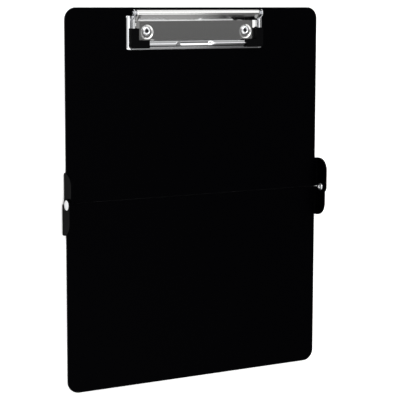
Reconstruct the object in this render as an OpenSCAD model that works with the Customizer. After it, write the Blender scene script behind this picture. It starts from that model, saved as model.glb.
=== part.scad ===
// Folding clipboard: two coated sheet panels on riveted ear hinges, with a low-profile spring clip.
// X runs to the right, Y toward the clip, Z out of the writing face. The seam between the panels
// lies at Y = 0, and Z = 0 is the surface that the closed rivet heads on the back rest on.
// Sizes on the clip are given in its own section: d is the distance down from the board's top edge,
// h is the height above the writing face.

/* [Board] */
// Width of the writing surface
board_w = 236; // [190:1:300]
// Height of the open board, both panels together
board_h = 304.8; // [260:0.1:380]
// Thickness of the panel sheet
sheet_t = 1.5; // [1:0.1:2.5]
// Radius of the board's four outer corners
corner_r = 9.5; // [3:0.5:20]
// Gap between the two panels at the seam
seam_gap = 0.4; // [0.2:0.1:1]

/* [Hinge ears] */
// Height of the hinge rivets' axis above the writing face
hinge_h = 7.5; // [7.4:0.1:10]
// Reach of an ear along the board, from the seam
ear_reach = 24.4; // [16:0.1:40]
// Radius of an ear's round end, about the rivet
ear_end_r = 5.1; // [4.6:0.1:6]
// Radius of an ear's far corner
ear_corner_r = 10.5; // [4:0.5:11]
// Inside radius of the bend at an ear's root
ear_bend_r = 0.5; // [0.3:0.1:0.8]
// Space between the board's edge and the inside face of an inner ear
ear_stand = 0.8; // [0.8:0.1:2]
// Running gap between the inner and the outer ear
ear_gap = 0.1; // [0.05:0.05:0.3]

/* [Hinge rivets] */
// Radius of the shank
hinge_pin_r = 2; // [1.7:0.1:2.4]
// Radius of the domed head
hinge_head_r = 4.4; // [3.5:0.1:4.6]
// Height of the domed head
hinge_head_h = 1.8; // [1:0.1:2.5]
// Radius of the rolled end
hinge_roll_r = 3.15; // [2.8:0.05:3.6]
// Radius of the hollow in the rolled end
hinge_hollow_r = 1.35; // [1:0.05:1.4]

/* [Clip base plate] */
// Distance that the clip's middle sits to the left of the board's middle
clip_left = 1.2; // [0:0.1:2]
// Width that the base plate shows beyond the jaw, at each side
base_side = 3.5; // [3:0.1:6]
// Depth of the base plate, along the board's height
base_depth = 26.6; // [24:0.1:32]
// Thickness of the base plate
base_t = 0.9; // [0.6:0.1:1.5]
// Distance from the board's top edge to the base plate
base_inset = 6.7; // [5:0.1:12]
// Width of the skirt that slopes down to the board at each side
base_skirt = 2.7; // [1:0.1:2.9]

/* [Clip pivot plate] */
// Gap between each end of the pivot plate and the jaw's arm
plate_side = 2; // [1.6:0.1:2.5]
// Thickness of the pivot plate
plate_t = 0.8; // [0.6:0.1:1]
// Height that the pivot plate stands above the base plate, on its dimples
plate_lift = 0.6; // [0.3:0.1:0.7]
// Distance from the base plate's upper edge back to the barrel's axis
barrel_back = 2.3; // [1:0.1:3]
// Height of the barrel's axis above the writing face
barrel_h = 4.9; // [4.8:0.1:6]
// Slope of the plate between its flat and the barrel
slope_angle = 45; // [38:1:50]
// Inside radius of the bend at the foot of the slope
slope_bend_r = 4; // [1:0.1:4.2]
// Turn of the rolled barrel around the rod
curl_angle = 285; // [240:5:295]
// Gap between the pivot plate's lower edge and the bar
bar_gap = 0.8; // [0.4:0.1:2]
// Radius of the torsion rod
rod_r = 1.5; // [1.2:0.05:1.6]
// Length that the rod stands out of each lug
rod_tail = 0.6; // [0.3:0.1:1.2]

/* [Clip rivets] */
// Distance from each end of the pivot plate in to its rivet
rivet_end = 11; // [9:0.1:16]
// Distance from the base plate's upper edge to the rivets
rivet_back = 11.9; // [11:0.1:14]
// Radius of the shank
rivet_pin_r = 2.4; // [2:0.1:2.6]
// Radius of the rolled end
rivet_roll_r = 3.6; // [3.2:0.1:4]
// Radius of the hollow in the rolled end
rivet_hollow_r = 1.4; // [1:0.1:1.6]
// Radius of the head on the back of the board
rivet_head_r = 4; // [3.5:0.1:5]
// Height of the head on the back of the board
rivet_head_h = 0.7; // [0.4:0.1:1.2]
// Radius of the round dimple that a rivet sits in
dimple_r = 6.2; // [5.4:0.1:6.4]

/* [Clip jaw] */
// Width of the jaw over its side arms
jaw_w = 120; // [100:0.1:140]
// Thickness of the jaw's sheet
jaw_t = 0.8; // [0.6:0.1:1]
// Radius of the round lugs about the rod
lug_r = 2.8; // [2.7:0.1:3.2]
// Outside radius of the domed bar
bar_r = 2.3; // [2:0.1:2.6]
// Height of the bar's ridge above the writing face
bar_top = 4.9; // [4.7:0.1:5.2]
// Reach of the gripping lip from the middle of the bar
lip_reach = 3.8; // [3.8:0.1:5]
// Distance that the lip stays back from the base plate's lower edge
lip_inset = 0.4; // [0.2:0.1:1]
// Distance from the rod along an arm to where it comes down to the bar's height
arm_taper = 5.4; // [4.6:0.1:15]
// Width of the flange along the top of a side arm
arm_flange = 1.8; // [1.2:0.1:2.2]
// Length of the flat part of the thumb scoop
scoop_w = 30; // [20:1:60]
// Length of the ramp at each end of the scoop
scoop_ramp = 5; // [2:0.5:8]
// Depth of the scoop
scoop_depth = 1.2; // [0.6:0.1:1.3]
// Radius across the scoop
scoop_r = 4; // [3:0.5:6]

/* [Corner grips] */
// Width of a grip over both its legs
grip_leg = 6.4; // [5:0.1:7]
// Length of a grip along the bar
grip_arm = 16; // [10:0.1:25]
// Length of a grip along the side arm, up from the bar's middle
grip_rise = 12.6; // [8:0.1:14]
// Thickness of a grip over the jaw
grip_wall = 1; // [0.6:0.1:1.5]
// Distance that a grip stands out from the jaw's side
grip_out = 1.5; // [1:0.1:2.5]
// Radius of a grip's outer corner
grip_corner_r = 2; // [0.5:0.1:3]

/* [Hidden] */
$fn = 64;

// clearances
run_clear = 0.05;   // round a turning pin, and beside a part that turns
seat_clear = 0.03;  // between a grip and the jaw inside it
part_clear = 0.3;   // between parts that pass each other
over = 1;           // how far a cutting shape runs past what it cuts
bend_lap = 0.06;    // how far a bend laps over the straight runs beside it
bend_proud = 0.01;  // how far it stands proud of them
touch_in = 0.04;    // how far inside a circle a line that meets it ends

// heights of the board
face_z = rivet_head_h + sheet_t;
hinge_z = face_z + hinge_h;

// widths of the clip's plates
base_w = jaw_w + 2 * base_side;
plate_w = jaw_w - 2 * (jaw_t + plate_side);
rivet_span = plate_w - 2 * rivet_end;

// the clip's section, as d and h
base_low = base_inset + base_depth;
rod_d = base_inset - barrel_back;
barrel_r = rod_r + run_clear + plate_t;
plate_top = base_t + plate_lift + plate_t;
rivet_d = base_inset + rivet_back;
lip_h = base_t + run_clear;
bar_d = base_low - lip_inset - lip_reach;
bar_h = bar_top - bar_r;
plate_low = bar_d - bar_r - bar_gap;
arm_h = base_t + plate_lift;
dimple_rim = 0.5;
dimple_wall = 1.2;
skirt_foot = 0.15;
black = [0.05, 0.05, 0.055];
chrome = [0.82, 0.83, 0.85];
satin = [0.5, 0.5, 0.52];

// Where a line from point p touches a circle, on the side that side gives (1 or -1). It is kept
// a little inside the circle, so that the line crosses the circle in a clean corner.
function touch(c, r, p, side) =
    let (away = p - c, inner = r - touch_in, a = atan2(away[1], away[0]) + side * acos(inner / norm(away)))
    c + inner * [cos(a), sin(a)];

// ---- sheet metal ----

// The section of one bend, about the origin, starting on the X axis. It laps over the straight
// runs at both ends and stands a hair proud of them, so that they always join in clean corners.
module bend_section(r_in, t, angle) {
    far = 2 * (r_in + t);
    lap = asin(bend_lap / (r_in + t));
    steps = 4;
    intersection() {
        difference() {
            circle(r_in + t + bend_proud);
            circle(r_in - bend_proud);
        }
        polygon([
            [0, 0],
            for (k = [0:steps]) let (a = -lap + (angle + 2 * lap) * k / steps) far * [cos(a), sin(a)]
        ]);
    }
}

// The section of a bent strip: straight runs joined by bends.
// Each entry of path is [length of the run, turn after it, inside radius of that turn].
// The sheet lies on the left of the path, and a turn to the left is positive.
module strip_section(path, t, i = 0) {
    if (i < len(path)) {
        run = path[i][0];
        turn = path[i][1];
        centre = turn > 0 ? t + path[i][2] : -path[i][2];
        square([run, t]);
        if (turn != 0) translate([run, centre]) {
            rotate(turn > 0 ? -90 : 90 + turn) bend_section(path[i][2], t, abs(turn));
            rotate(turn) translate([0, -centre]) strip_section(path, t, i + 1);
        }
    }
}

// Puts a shape drawn in the clip's section (X = d, Y = h, Z = across) on the board, w wide, in the
// middle of the clip
module clip_section(w) {
    translate([-clip_left, board_h / 2, face_z]) rotate([90, 0, -90]) translate([0, 0, -w / 2]) children();
}

// Puts a shape at the place of the clip rivet on the given side, with Z = 0 at the writing face
module at_clip_rivet(side) {
    translate([side * rivet_span / 2 - clip_left, board_h / 2 - rivet_d, face_z]) children();
}

// ---- panels ----

module panel_outline() {
    half = board_w / 2;
    top = board_h / 2;
    translate([-half, seam_gap / 2]) square([board_w, top - corner_r - seam_gap / 2]);
    translate([-half + corner_r, top - 2 * corner_r]) square([board_w - 2 * corner_r, 2 * corner_r]);
    for (side = [-1, 1]) translate([side * (half - corner_r), top - corner_r]) circle(corner_r);
}

// Side view of an ear, drawn with X along the board and Y up from the sheet's back
module ear_outline() {
    root = sheet_t + ear_bend_r;
    tip = sheet_t + hinge_h + ear_end_r;
    length = ear_reach - seam_gap / 2;
    difference() {
        union() {
            intersection() {
                translate([seam_gap / 2, root]) square([length, tip - root]);
                union() {
                    translate([seam_gap / 2, root]) square([length, tip - ear_corner_r - root]);
                    translate([seam_gap / 2, root]) square([length - ear_corner_r, tip - root]);
                    translate([ear_reach - ear_corner_r, tip - ear_corner_r]) circle(ear_corner_r);
                }
            }
            translate([0, sheet_t + hinge_h]) square([ear_end_r, ear_end_r]);
            translate([0, sheet_t + hinge_h]) circle(ear_end_r);
        }
        translate([0, sheet_t + hinge_h]) circle(hinge_pin_r + run_clear);
    }
}

// An ear on the right edge, whose inside face stands off the board's edge by stand
module ear(stand) {
    bend_x = board_w / 2 + stand - ear_bend_r;
    length = ear_reach - seam_gap / 2;
    translate([board_w / 2 - over, seam_gap / 2, 0]) cube([bend_x - board_w / 2 + over, length, sheet_t]);
    translate([bend_x, ear_reach, sheet_t + ear_bend_r])
        rotate([90, 90, 0]) linear_extrude(length) bend_section(ear_bend_r, sheet_t, 90);
    translate([board_w / 2 + stand, 0, 0]) rotate([90, 0, 90]) linear_extrude(sheet_t) ear_outline();
}

// One panel as the upper one lies: inner ear on its left, outer ear on its right
module panel() {
    linear_extrude(sheet_t) panel_outline();
    mirror([1, 0, 0]) ear(ear_stand);
    ear(ear_stand + sheet_t + ear_gap);
}

module upper_panel() {
    color(black) difference() {
        translate([0, 0, rivet_head_h]) panel();
        for (side = [-1, 1]) at_clip_rivet(side)
            translate([0, 0, -sheet_t - over]) cylinder(r = rivet_pin_r + run_clear, h = sheet_t + 2 * over);
    }
}

module lower_panel() {
    color(black) translate([0, 0, rivet_head_h]) rotate([0, 0, 180]) panel();
}

// ---- rivets ----

// The rolled end of a tubular rivet, on the plane Z = 0
module rolled_end(r, hollow_r) {
    width = (r - hollow_r) / 2;
    rotate_extrude() intersection() {
        translate([hollow_r + width, 0]) circle(width);
        translate([hollow_r, 0]) square([2 * width, width]);
    }
}

// A hinge rivet along Z: its rolled end below Z = 0, its head above the grip length
module hinge_rivet(grip) {
    dome_r = (pow(hinge_head_r, 2) + pow(hinge_head_h, 2)) / (2 * hinge_head_h);
    hollow_h = sheet_t;
    difference() {
        union() {
            mirror([0, 0, 1]) rolled_end(hinge_roll_r, hinge_hollow_r);
            cylinder(r = hinge_pin_r, h = grip);
            translate([0, 0, grip]) rotate_extrude() intersection() {
                translate([0, hinge_head_h - dome_r]) circle(dome_r);
                square([hinge_head_r, hinge_head_h]);
            }
        }
        translate([0, 0, -over]) cylinder(r = hinge_hollow_r, h = hollow_h + over);
    }
}

// The right hinge rivet through both ears, with play at each end
module right_rivet_body() {
    translate([board_w / 2 + ear_stand - run_clear, 0, hinge_z]) rotate([0, 90, 0])
        hinge_rivet(2 * sheet_t + ear_gap + 2 * run_clear);
}

module right_hinge_rivet() {
    color(chrome) right_rivet_body();
}

module left_hinge_rivet() {
    color(chrome) mirror([1, 0, 0]) right_rivet_body();
}

// A clip rivet: head on the back of the board, rolled end in the dimple
module clip_rivet(side) {
    seat = base_t + plate_t + run_clear;
    foot = -sheet_t;
    hollow_h = plate_t + base_t;
    at_clip_rivet(side) difference() {
        union() {
            translate([0, 0, foot - rivet_head_h]) cylinder(r = rivet_head_r, h = rivet_head_h);
            translate([0, 0, foot]) cylinder(r = rivet_pin_r, h = seat - foot);
            translate([0, 0, seat]) rolled_end(rivet_roll_r, rivet_hollow_r);
        }
        translate([0, 0, seat - hollow_h]) cylinder(r = rivet_hollow_r, h = hollow_h + over);
    }
}

module left_clip_rivet() {
    color(chrome) clip_rivet(-1);
}

module right_clip_rivet() {
    color(chrome) clip_rivet(1);
}

// ---- clip, fixed parts ----

module clip_base_plate() {
    half = base_w / 2;
    color(chrome) difference() {
        translate([-clip_left, board_h / 2 - base_inset, face_z]) rotate([90, 0, 0])
            linear_extrude(base_depth) polygon([
                [-half, 0], [half, 0], [half, skirt_foot], [half - base_skirt, base_t],
                [base_skirt - half, base_t], [-half, skirt_foot]
            ]);
        for (side = [-1, 1]) at_clip_rivet(side)
            translate([0, 0, -over]) cylinder(r = rivet_pin_r + run_clear, h = base_t + 2 * over);
    }
}

// The dimple: a round floor on the base plate with a sloped wall up to the plate
module dimple() {
    hole_r = rivet_pin_r + run_clear;
    wall_top = dimple_r - dimple_rim;
    floor_r = wall_top - dimple_wall;
    rotate_extrude() polygon([
        [hole_r, 0], [floor_r, 0], [wall_top, plate_lift], [dimple_r, plate_lift],
        [dimple_r, plate_lift + plate_t], [wall_top, plate_lift + plate_t],
        [floor_r - dimple_rim / 4, plate_t], [hole_r, plate_t]
    ]);
}

module clip_pivot_plate() {
    run = (barrel_h - plate_top - slope_bend_r * (1 - cos(slope_angle)) + barrel_r * cos(slope_angle))
        / sin(slope_angle);
    fold_d = rod_d + (slope_bend_r + barrel_r) * sin(slope_angle) + run * cos(slope_angle);
    color(satin) {
        difference() {
            clip_section(plate_w) linear_extrude(plate_w) translate([plate_low, plate_top]) rotate(180)
                strip_section([
                    [plate_low - fold_d, -slope_angle, slope_bend_r],
                    [run, curl_angle, rod_r + run_clear]
                ], plate_t);
            for (side = [-1, 1]) at_clip_rivet(side)
                translate([0, 0, arm_h - over])
                    cylinder(r = dimple_r - dimple_rim / 2, h = plate_t + 2 * over);
        }
        for (side = [-1, 1]) at_clip_rivet(side) translate([0, 0, base_t]) dimple();
    }
}

module torsion_rod() {
    length = jaw_w + 2 * rod_tail;
    color(chrome) clip_section(length) translate([rod_d, barrel_h, 0]) cylinder(r = rod_r, h = length);
}

// ---- clip, moving parts ----

// The filled section of the bar
module bar_section(clear = 0) {
    half = bar_r + clear;
    translate([bar_d, bar_h]) intersection() {
        circle(half);
        translate([-half, 0]) square([2 * half, half]);
    }
    translate([bar_d - half, arm_h]) square([2 * half, bar_h - arm_h]);
}

// The side view of an arm: a round lug that tapers down to the bar
module arm_section() {
    lug = [rod_d, barrel_h];
    heel = [rod_d + arm_taper, bar_top];
    back = [rod_d + lug_r + 2, arm_h];
    difference() {
        union() {
            translate(lug) circle(lug_r);
            polygon([
                lug, touch(lug, lug_r, heel, 1), heel, [bar_d, bar_top], [bar_d, arm_h], back,
                touch(lug, lug_r, back, -1)
            ]);
            bar_section();
        }
        translate(lug) circle(rod_r + run_clear);
    }
}

// The body that is pressed into the bar for the thumb: a spindle along the bar, behind its ridge
module scoop(grow = 0) {
    reach = (bar_r + scoop_r - scoop_depth) * cos(45);
    half = scoop_w / 2;
    translate([bar_d - reach, bar_h + reach, 0]) rotate_extrude() polygon([
        [0, -half - scoop_ramp], [scoop_r - scoop_depth + grow, -half - scoop_ramp],
        [scoop_r + grow, -half], [scoop_r + grow, half],
        [scoop_r - scoop_depth + grow, half + scoop_ramp], [0, half + scoop_ramp]
    ]);
}

module bar() {
    arc_r = bar_r - jaw_t;
    lip_bend_r = 0.3;
    foot = jaw_t + lip_bend_r;
    difference() {
        union() {
            linear_extrude(jaw_w) translate([bar_d - arc_r, arm_h]) rotate(90) strip_section([
                [bar_h - arm_h, -180, arc_r],
                [bar_h - lip_h - foot, 90, lip_bend_r],
                [lip_reach - arc_r - foot, 0, 0]
            ], jaw_t);
            intersection() {
                linear_extrude(jaw_w) bar_section();
                translate([0, 0, jaw_w / 2]) scoop(jaw_t);
            }
        }
        translate([0, 0, jaw_w / 2]) scoop();
    }
}

// The section of the flange: the top edge of an arm between its lug and the bar
module flange_section() {
    top = rod_d + arm_taper;
    translate([top, bar_top - jaw_t]) square([bar_d - top, jaw_t]);
}

module clip_jaw() {
    color(chrome) clip_section(jaw_w) {
        bar();
        for (z = [0, jaw_w - jaw_t]) translate([0, 0, z]) linear_extrude(jaw_t) arm_section();
        for (z = [0, jaw_w - arm_flange]) translate([0, 0, z]) linear_extrude(arm_flange) flange_section();
    }
}

// The right corner grip: an L over the jaw's corner, slotted for the arm and the bar
module grip_body() {
    outer = jaw_w / 2 + grip_out;
    inner = outer - grip_leg;
    low_d = bar_d + bar_r + grip_wall - part_clear / 2;
    high_d = bar_d - bar_r - grip_wall;
    foot = base_t + part_clear;
    tip = bar_top + grip_wall;
    arm_x = jaw_w / 2 - jaw_t;
    translate([0, board_h / 2, face_z]) difference() {
        translate([0, 0, foot]) linear_extrude(tip - foot) {
            translate([inner, -low_d + grip_corner_r]) square([grip_leg, low_d - grip_corner_r - bar_d + grip_rise]);
            translate([outer - grip_arm, -low_d])
                square([grip_arm - grip_corner_r, low_d - high_d]);
            translate([outer - grip_corner_r, -low_d + grip_corner_r]) circle(grip_corner_r);
        }
        // slot for the side arm
        translate([arm_x - seat_clear, -bar_d, 0])
            cube([jaw_t + 2 * seat_clear, grip_rise + over, bar_top + seat_clear]);
        // slot for the flange
        translate([arm_x + jaw_t - arm_flange - seat_clear, -bar_d, bar_top - jaw_t - seat_clear])
            cube([arm_flange + 2 * seat_clear, grip_rise + over, jaw_t + 2 * seat_clear]);
        // hollow for the bar
        translate([arm_x + jaw_t + seat_clear, 0, 0]) rotate([90, 0, -90])
            linear_extrude(grip_arm + over) bar_section(seat_clear);
        translate([inner - grip_arm, -low_d - over, 0])
            cube([grip_arm + arm_x + jaw_t + seat_clear - inner, low_d - bar_d + bar_r + over + seat_clear,
                  lip_h + jaw_t + part_clear]);
        // room over the pivot plate
        translate([plate_w / 2 - grip_arm, -bar_d, 0])
            cube([grip_arm + part_clear, grip_rise + over, plate_top + part_clear]);
    }
}

module right_corner_grip() {
    color(black) translate([-clip_left, 0, 0]) grip_body();
}

module left_corner_grip() {
    color(black) translate([-clip_left, 0, 0]) mirror([1, 0, 0]) grip_body();
}

upper_panel();
lower_panel();
left_hinge_rivet();
right_hinge_rivet();
clip_base_plate();
clip_pivot_plate();
torsion_rod();
left_clip_rivet();
right_clip_rivet();
clip_jaw();
left_corner_grip();
right_corner_grip();
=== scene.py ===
"""Dresses the folding clipboard: worked sheet metal, rolled rivets, coats, plating and vinyl."""

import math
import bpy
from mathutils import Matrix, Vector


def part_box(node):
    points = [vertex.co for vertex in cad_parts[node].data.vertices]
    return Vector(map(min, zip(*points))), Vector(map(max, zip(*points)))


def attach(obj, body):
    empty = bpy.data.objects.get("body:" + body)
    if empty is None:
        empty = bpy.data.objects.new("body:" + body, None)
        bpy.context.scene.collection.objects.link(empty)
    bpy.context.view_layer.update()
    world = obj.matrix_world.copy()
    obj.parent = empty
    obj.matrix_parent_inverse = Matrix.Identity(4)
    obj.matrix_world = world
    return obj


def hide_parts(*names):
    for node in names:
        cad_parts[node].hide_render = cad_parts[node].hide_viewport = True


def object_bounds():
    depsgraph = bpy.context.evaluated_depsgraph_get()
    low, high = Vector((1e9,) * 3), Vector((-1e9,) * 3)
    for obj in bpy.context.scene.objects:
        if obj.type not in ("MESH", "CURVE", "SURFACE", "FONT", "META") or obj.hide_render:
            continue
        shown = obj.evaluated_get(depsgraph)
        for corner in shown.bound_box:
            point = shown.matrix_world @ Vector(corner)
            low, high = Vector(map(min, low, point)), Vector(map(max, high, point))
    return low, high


bl_info = {
    "name": "Folding clipboard",
    "version": (1, 1, 0),
    "blender": (4, 5, 0),
    "location": "View3D > Sidebar > Clipboard",
    "description": "Dresses a folding clipboard and sets up its studio",
    "category": "Object",
}

import bmesh
import bpy
import numpy as np
from mathutils import Matrix, Vector

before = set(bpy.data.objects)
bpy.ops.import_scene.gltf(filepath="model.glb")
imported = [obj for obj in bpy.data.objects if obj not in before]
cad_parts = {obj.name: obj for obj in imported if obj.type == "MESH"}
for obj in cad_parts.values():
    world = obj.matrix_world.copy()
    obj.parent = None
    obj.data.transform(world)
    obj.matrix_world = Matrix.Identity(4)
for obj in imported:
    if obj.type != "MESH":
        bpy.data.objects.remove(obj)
CAD_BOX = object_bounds()
MM = 0.001

UPPER = "upper_board"
LOWER = "lower_board"
JAW = "jaw"

# ---- sizes that the frame's boxes don't give, in mm ----

RUN_CLEAR = 0.05
LIP_REACH = 3.8
CLIP_PIN_R, CLIP_ROLL_R, CLIP_HOLLOW_R, CLIP_HEAD_H = 2.4, 3.4, 1.4, 0.7
HINGE_PIN_R, HINGE_ROLL_R, HINGE_HOLLOW_R, HINGE_HOLLOW_DEPTH = 2.0, 3.15, 1.35, 1.5
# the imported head's height, the lower dome worked here, and how much less its radius is
HINGE_HEAD_H, HINGE_DOME_H, HINGE_HEAD_LESS = 1.8, 0.9, 0.4

# ---- places from the frame, in mm ----
# On the clip, x runs across, d is the distance down from the board's top edge, and h is the height
# above the writing face.


def box_mm(node):
    """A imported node's lowest and highest corners as x, y, z in millimetres."""
    low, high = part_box(node)
    return np.array(low) / MM, np.array(high) / MM


BASE_LOW, BASE_HIGH = box_mm("clip_base_plate")
PIVOT_LOW, PIVOT_HIGH = box_mm("clip_pivot_plate")
JAW_LOW, JAW_HIGH = box_mm("clip_jaw")
ROD_LOW, ROD_HIGH = box_mm("torsion_rod")
TOP_Y = box_mm("upper_panel")[1][1]
FACE_Z = BASE_LOW[2]
CLIP_X = (BASE_LOW[0] + BASE_HIGH[0]) / 2
ROD_R = (ROD_HIGH[2] - ROD_LOW[2]) / 2
ROD_D = TOP_Y - (ROD_LOW[1] + ROD_HIGH[1]) / 2
ROD_H = (ROD_LOW[2] + ROD_HIGH[2]) / 2 - FACE_Z
BASE_T = BASE_HIGH[2] - FACE_Z
RIVET_X = [np.mean(box_mm(side + "_clip_rivet"), axis=0)[0] for side in ("left", "right")]
RIVET_D = TOP_Y - np.mean(box_mm("left_clip_rivet"), axis=0)[1]
BAR_D = TOP_Y - JAW_LOW[1] - LIP_REACH
GRIP_D = TOP_Y - box_mm("right_corner_grip")[1][1]


# ---- colour and node helpers ----


def linear(hex_colour):
    """An sRGB hex colour, such as #1A1B1C, as linear RGBA."""
    parts = [int(hex_colour[i : i + 2], 16) / 255 for i in (1, 3, 5)]
    return (*[c / 12.92 if c <= 0.04045 else ((c + 0.055) / 1.055) ** 2.4 for c in parts], 1.0)


def add_node(tree, kind, settings=None, links=None):
    """Adds a node. settings are attributes or input values, links are {input: output socket}."""
    node = tree.nodes.new(kind)
    for key, value in (settings or {}).items():
        if isinstance(key, str) and hasattr(node, key):
            setattr(node, key, value)
        else:
            node.inputs[key].default_value = value
    for key, socket in (links or {}).items():
        tree.links.new(socket, node.inputs[key])
    return node


def new_material(name, **shader_values):
    """A material with one Principled shader, and that shader."""
    material = bpy.data.materials.new(name)
    material.use_nodes = True
    tree = material.node_tree
    tree.nodes.clear()
    shader = add_node(tree, "ShaderNodeBsdfPrincipled", shader_values)
    add_node(tree, "ShaderNodeOutputMaterial", links={"Surface": shader.outputs[0]})
    return material, tree, shader


def multiply(tree, first, second):
    """The product of a socket and a socket or number."""
    node = add_node(tree, "ShaderNodeMath", {"operation": "MULTIPLY"}, {0: first})
    if isinstance(second, float):
        node.inputs[1].default_value = second
    else:
        tree.links.new(second, node.inputs[1])
    return node.outputs[0]


def lesser(tree, first, second):
    """The lesser of two sockets."""
    node = add_node(tree, "ShaderNodeMath", {"operation": "MINIMUM"}, {0: first, 1: second})
    return node.outputs[0]


def soft_band(tree, value, low, high, edge):
    """1 where a value lies between low and high, and 0 outside, over a soft edge of the given width."""
    rise, fall = (
        add_node(
            tree,
            "ShaderNodeMapRange",
            {
                "interpolation_type": "SMOOTHSTEP",
                "From Min": end - edge / 2,
                "From Max": end + edge / 2,
                "To Min": first,
                "To Max": 1.0 - first,
            },
            {"Value": value},
        )
        for end, first in ((low, 0.0), (high, 1.0))
    )
    return multiply(tree, rise.outputs[0], fall.outputs[0])


def fine_grain(tree, per_mm, detail=2.0, stretch=(1.0, 1.0, 1.0)):
    """Noise in object space with per_mm grains to the millimetre."""
    coords = add_node(tree, "ShaderNodeTexCoord")
    mapping = add_node(
        tree, "ShaderNodeMapping", {"Scale": stretch}, {"Vector": coords.outputs["Object"]}
    )
    return add_node(
        tree,
        "ShaderNodeTexNoise",
        {"Scale": per_mm / MM, "Detail": detail},
        {"Vector": mapping.outputs[0]},
    )


# ---- materials ----


def coated_aluminium(settings):
    """Aluminium sheet with a baked black coat: deep black, a very faint sheen, a fine orange-peel skin."""
    material, tree, shader = new_material(
        "black baked coat",
        **{"Roughness": 0.3, "Specular IOR Level": 0.015, "IOR": 1.5},
    )
    grain = fine_grain(tree, 1.6)
    tint = add_node(tree, "ShaderNodeValToRGB", links={"Fac": grain.outputs["Fac"]})
    tint.color_ramp.elements[0].color = linear(settings.coat_dark)
    tint.color_ramp.elements[1].color = linear(settings.coat_light)
    tree.links.new(tint.outputs[0], shader.inputs["Base Color"])
    bump = add_node(
        tree,
        "ShaderNodeBump",
        {"Strength": 0.12, "Distance": 0.02 * MM},
        {"Height": grain.outputs["Fac"]},
    )
    tree.links.new(bump.outputs[0], shader.inputs["Normal"])
    return material


def plated_steel(name, hex_colour, rough, per_mm=0.25):
    """Bare or plated steel: a mirror whose gloss wanders between two values of rough, as faint wiping
    marks along the clip with per_mm of them to the millimetre."""
    material, tree, shader = new_material(
        name, **{"Base Color": linear(hex_colour), "Metallic": 1.0}
    )
    marks = fine_grain(tree, per_mm, 4.0, (1.0, 6.0, 6.0))
    rough = add_node(
        tree,
        "ShaderNodeMapRange",
        {"To Min": rough[0], "To Max": rough[1]},
        {"Value": marks.outputs["Fac"]},
    )
    tree.links.new(rough.outputs[0], shader.inputs["Roughness"])
    return material


def moulded_vinyl(settings):
    """Soft black vinyl, dip moulded: dull, with a faint pebble from the tool."""
    material, tree, shader = new_material(
        "black moulded vinyl",
        **{
            "Base Color": linear(settings.vinyl),
            "Roughness": 0.45,
            "Specular IOR Level": 0.02,
        },
    )
    grain = fine_grain(tree, 2.5)
    bump = add_node(
        tree,
        "ShaderNodeBump",
        {"Strength": 0.15, "Distance": 0.03 * MM},
        {"Height": grain.outputs["Fac"]},
    )
    tree.links.new(bump.outputs[0], shader.inputs["Normal"])
    return material


# ---- shapes, all in mm ----

WELD = 0.001 * MM
FLAT_DEG = 0.5


def on_clip(x, d, h):
    """Points of the clip, given across, down and up, as x, y, z of the frame."""
    x, d, h = np.broadcast_arrays(x, d, h)
    return np.stack([x, TOP_Y - d, FACE_Z + h], axis=-1)


def smooth(share):
    """0 to 1 with level ends: 3 s squared less 2 s cubed."""
    share = np.clip(share, 0, 1)
    return share * share * (3 - 2 * share)


def bend_path(start, heading, runs, step=6):
    """The middle line of a bent strip, as rows of d and h. Each run is its length, the turn after it in
    degrees and that turn's middle radius. A turn is a chain of equal chords: a chord that turns by q on
    radius r is 2 r sin(q / 2) long and points half of q past the heading before it."""
    lengths, ways = [], []
    for length, turn, radius in runs:
        count = math.ceil(abs(turn) / step)
        part = turn / max(count, 1)
        chord = 2 * radius * math.sin(math.radians(abs(part)) / 2)
        lengths += [[length], np.full(count, chord)]
        ways += [[heading], heading + part * (np.arange(count) + 0.5)]
        heading += turn
    angle = np.radians(np.concatenate(ways))
    moves = np.concatenate(lengths)[:, None] * np.column_stack([np.cos(angle), np.sin(angle)])
    return np.vstack([start, start + np.cumsum(moves, axis=0)])


def across(low, high, middles, lines, pitch):
    """Stations from low to high: the given lines about each of the middles, and even ones between."""
    fixed = np.concatenate([[low, high], *[middle + lines for middle in middles]])
    fixed = np.unique(np.round(fixed, 6))
    gaps = np.diff(fixed)
    counts = np.maximum(1, np.ceil(gaps / pitch)).astype(int)
    parts = [np.linspace(a, b, n, endpoint=False) for a, b, n in zip(fixed[:-1], fixed[1:], counts)]
    return np.append(np.concatenate(parts), high)


def round_off(x, d, middle, inner, outer):
    """Turns the square rings of a grid about a middle into round ones. A point on the square ring of
    half side r moves to radius r, fully out to inner, and less and less from there to outer."""
    away_x, away_d = x - middle[0], d - middle[1]
    ring = np.maximum(abs(away_x), abs(away_d))
    share = ring / np.maximum(np.hypot(away_x, away_d), 1e-9)
    share = 1 + (share - 1) * smooth((outer - ring) / (outer - inner))
    return middle[0] + away_x * share, middle[1] + away_d * share


def normals(grid):
    """Unit normals of a grid of points: the cross product of its slopes along both ways."""
    cross = np.cross(np.gradient(grid, axis=0), np.gradient(grid, axis=1))
    return cross / np.maximum(np.linalg.norm(cross, axis=-1, keepdims=True), 1e-12)


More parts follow.
